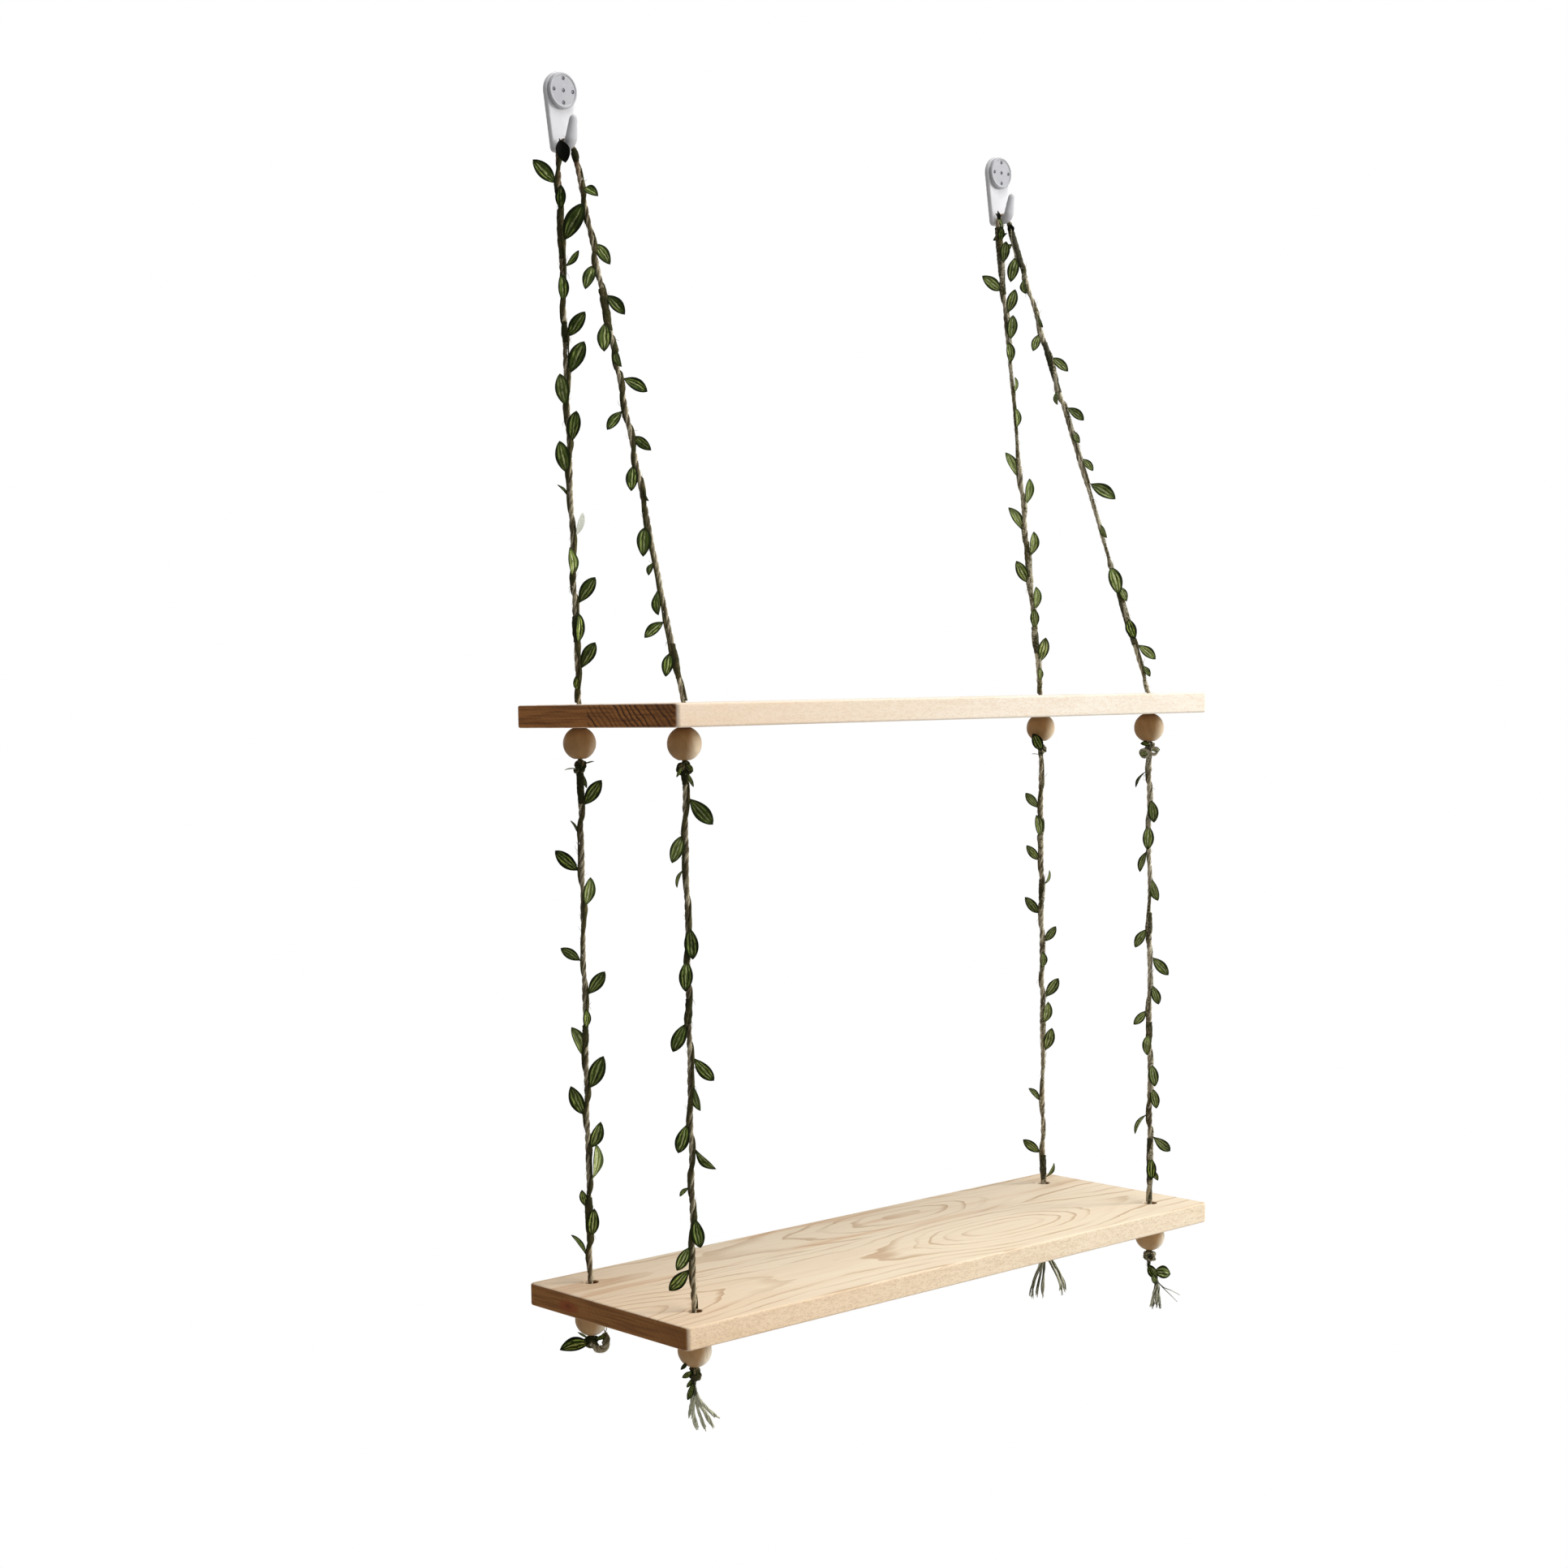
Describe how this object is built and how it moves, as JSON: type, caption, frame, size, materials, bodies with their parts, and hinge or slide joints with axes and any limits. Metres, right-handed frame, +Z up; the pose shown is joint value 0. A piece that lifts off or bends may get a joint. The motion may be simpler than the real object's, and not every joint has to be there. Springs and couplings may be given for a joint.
{
  "type": "hanging rope shelf",
  "caption": "Hanging shelf of stacked wooden boards on knotted jute ropes wound with a leaf garland, slung over pinned wall hooks.",
  "frame": {"origin": "on the wall plane, midway between the hooks, level with the tops of their saddles", "axes": "+X to the right along the boards, +Y into the wall, +Z up"},
  "size_m": [0.42, 0.1315, 0.7144],
  "materials": {
    "pine": "sanded, unvarnished",
    "bead": "turned, unvarnished",
    "jute": "twisted natural fibre",
    "garland": "printed cloth leaves on twine",
    "hook_plastic": "moulded, semi-gloss",
    "cap_plastic": "moulded, semi-gloss",
    "pin_steel": "bright"
  },
  "bodies": {
    "wall_hooks": {"hook_left": "hook_plastic", "pin_cap_left": "cap_plastic", "pin_left_1": "pin_steel", "pin_left_2": "pin_steel", "pin_left_3": "pin_steel", "pin_left_4": "pin_steel", "pin_left_5": "pin_steel", "hook_right": "hook_plastic", "pin_cap_right": "cap_plastic", "pin_right_1": "pin_steel", "pin_right_2": "pin_steel", "pin_right_3": "pin_steel", "pin_right_4": "pin_steel", "pin_right_5": "pin_steel"},
    "left_loop": {"rope_loop_left": "jute"},
    "right_loop": {"rope_loop_right": "jute"},
    "left_hanger": {"strand_upper_rear_left": "jute", "garland_upper_rear_left": "garland", "strand_upper_front_left": "jute", "garland_upper_front_left": "garland"},
    "right_hanger": {"strand_upper_rear_right": "jute", "garland_upper_rear_right": "garland", "strand_upper_front_right": "jute", "garland_upper_front_right": "garland"},
    "upper_tier": {"upper_board": "pine", "bead_upper_rear_left": "bead", "rope_core_upper_rear_left": "jute", "bead_upper_front_left": "bead", "rope_core_upper_front_left": "jute", "bead_upper_rear_right": "bead", "rope_core_upper_rear_right": "jute", "bead_upper_front_right": "bead", "rope_core_upper_front_right": "jute"},
    "upper_knot_rear_left": {"knot_upper_rear_left": "jute"},
    "upper_knot_front_left": {"knot_upper_front_left": "jute"},
    "upper_knot_rear_right": {"knot_upper_rear_right": "jute"},
    "upper_knot_front_right": {"knot_upper_front_right": "jute"},
    "lower_strand_rear_left": {"strand_lower_rear_left": "jute", "garland_lower_rear_left": "garland"},
    "lower_strand_front_left": {"strand_lower_front_left": "jute", "garland_lower_front_left": "garland"},
    "lower_strand_rear_right": {"strand_lower_rear_right": "jute", "garland_lower_rear_right": "garland"},
    "lower_strand_front_right": {"strand_lower_front_right": "jute", "garland_lower_front_right": "garland"},
    "lower_rope_turn": {"rope_turn_lower_rear_left": "jute"},
    "lower_tier": {"lower_board": "pine", "bead_lower_rear_left": "bead", "knot_lower_rear_left": "jute", "rope_end_rear_left": "jute", "bead_lower_front_left": "bead", "knot_lower_front_left": "jute", "rope_end_front_left": "jute", "bead_lower_rear_right": "bead", "knot_lower_rear_right": "jute", "rope_end_rear_right": "jute", "bead_lower_front_right": "bead", "knot_lower_front_right": "jute", "rope_end_front_right": "jute"}
  },
  "joints": [
    {"name": "swing_out", "type": "hinge", "parent": "wall_hooks", "child": "left_loop", "pos_m": [-0.172, -0.006, 0.002], "axis": [-1, 0, 0], "range_deg": [0, 25]},
    {"name": "swing_out_right", "type": "hinge", "parent": "wall_hooks", "child": "right_loop", "pos_m": [0.172, -0.006, 0.002], "axis": [-1, 0, 0], "range_deg": [0, 25]},
    {"name": "side_sway", "type": "hinge", "parent": "left_loop", "child": "left_hanger", "pos_m": [-0.172, -0.006, -0.0036], "axis": [0, -1, 0], "range_deg": [-8, 8]},
    {"name": "side_sway_right", "type": "hinge", "parent": "right_loop", "child": "right_hanger", "pos_m": [0.172, -0.006, -0.0036], "axis": [0, -1, 0], "range_deg": [-8, 8]},
    {"name": "upper_board_level", "type": "hinge", "parent": "left_hanger", "child": "upper_tier", "pos_m": [-0.1847, -0.0232, -0.2955], "axis": [0, -1, 0], "range_deg": [-8, 8]},
    {"name": "lower_swing", "type": "hinge", "parent": "upper_tier", "child": "upper_knot_rear_left", "pos_m": [-0.1847, -0.0232, -0.3283], "axis": [-1, 0, 0], "range_deg": [-25, 15]},
    {"name": "lower_swing_front_left", "type": "hinge", "parent": "upper_tier", "child": "upper_knot_front_left", "pos_m": [-0.1847, -0.1078, -0.3283], "axis": [-1, 0, 0], "range_deg": [-25, 15]},
    {"name": "lower_swing_rear_right", "type": "hinge", "parent": "upper_tier", "child": "upper_knot_rear_right", "pos_m": [0.1847, -0.0232, -0.3283], "axis": [-1, 0, 0], "range_deg": [-25, 15]},
    {"name": "lower_swing_front_right", "type": "hinge", "parent": "upper_tier", "child": "upper_knot_front_right", "pos_m": [0.1847, -0.1078, -0.3283], "axis": [-1, 0, 0], "range_deg": [-25, 15]},
    {"name": "lower_sway", "type": "hinge", "parent": "upper_knot_rear_left", "child": "lower_strand_rear_left", "pos_m": [-0.1847, -0.0232, -0.3341], "axis": [0, -1, 0], "range_deg": [-10, 10]},
    {"name": "lower_sway_front_left", "type": "hinge", "parent": "upper_knot_front_left", "child": "lower_strand_front_left", "pos_m": [-0.1847, -0.1078, -0.3341], "axis": [0, -1, 0], "range_deg": [-10, 10]},
    {"name": "lower_sway_rear_right", "type": "hinge", "parent": "upper_knot_rear_right", "child": "lower_strand_rear_right", "pos_m": [0.1847, -0.0232, -0.3341], "axis": [0, -1, 0], "range_deg": [-10, 10]},
    {"name": "lower_sway_front_right", "type": "hinge", "parent": "upper_knot_front_right", "child": "lower_strand_front_right", "pos_m": [0.1847, -0.1078, -0.3341], "axis": [0, -1, 0], "range_deg": [-10, 10]},
    {"name": "lower_turn", "type": "hinge", "parent": "lower_strand_rear_left", "child": "lower_rope_turn", "pos_m": [-0.1847, -0.0232, -0.6055], "axis": [0, -1, 0], "range_deg": [-10, 10]},
    {"name": "lower_board_level", "type": "hinge", "parent": "lower_rope_turn", "child": "lower_tier", "pos_m": [-0.1847, -0.0232, -0.6055], "axis": [-1, 0, 0], "range_deg": [-15, 25]}
  ],
  "couplings": [
    {"joint": "swing_out_right", "follows": "swing_out", "ratio": 1},
    {"joint": "side_sway_right", "follows": "side_sway", "ratio": 1},
    {"joint": "upper_board_level", "follows": "side_sway", "ratio": -0.931},
    {"joint": "lower_swing_front_left", "follows": "lower_swing", "ratio": 1},
    {"joint": "lower_swing_rear_right", "follows": "lower_swing", "ratio": 1},
    {"joint": "lower_swing_front_right", "follows": "lower_swing", "ratio": 1},
    {"joint": "lower_sway_front_left", "follows": "lower_sway", "ratio": 1},
    {"joint": "lower_sway_rear_right", "follows": "lower_sway", "ratio": 1},
    {"joint": "lower_sway_front_right", "follows": "lower_sway", "ratio": 1},
    {"joint": "lower_turn", "follows": "lower_sway", "ratio": -1},
    {"joint": "lower_board_level", "follows": "lower_swing", "ratio": -1}
  ]
}
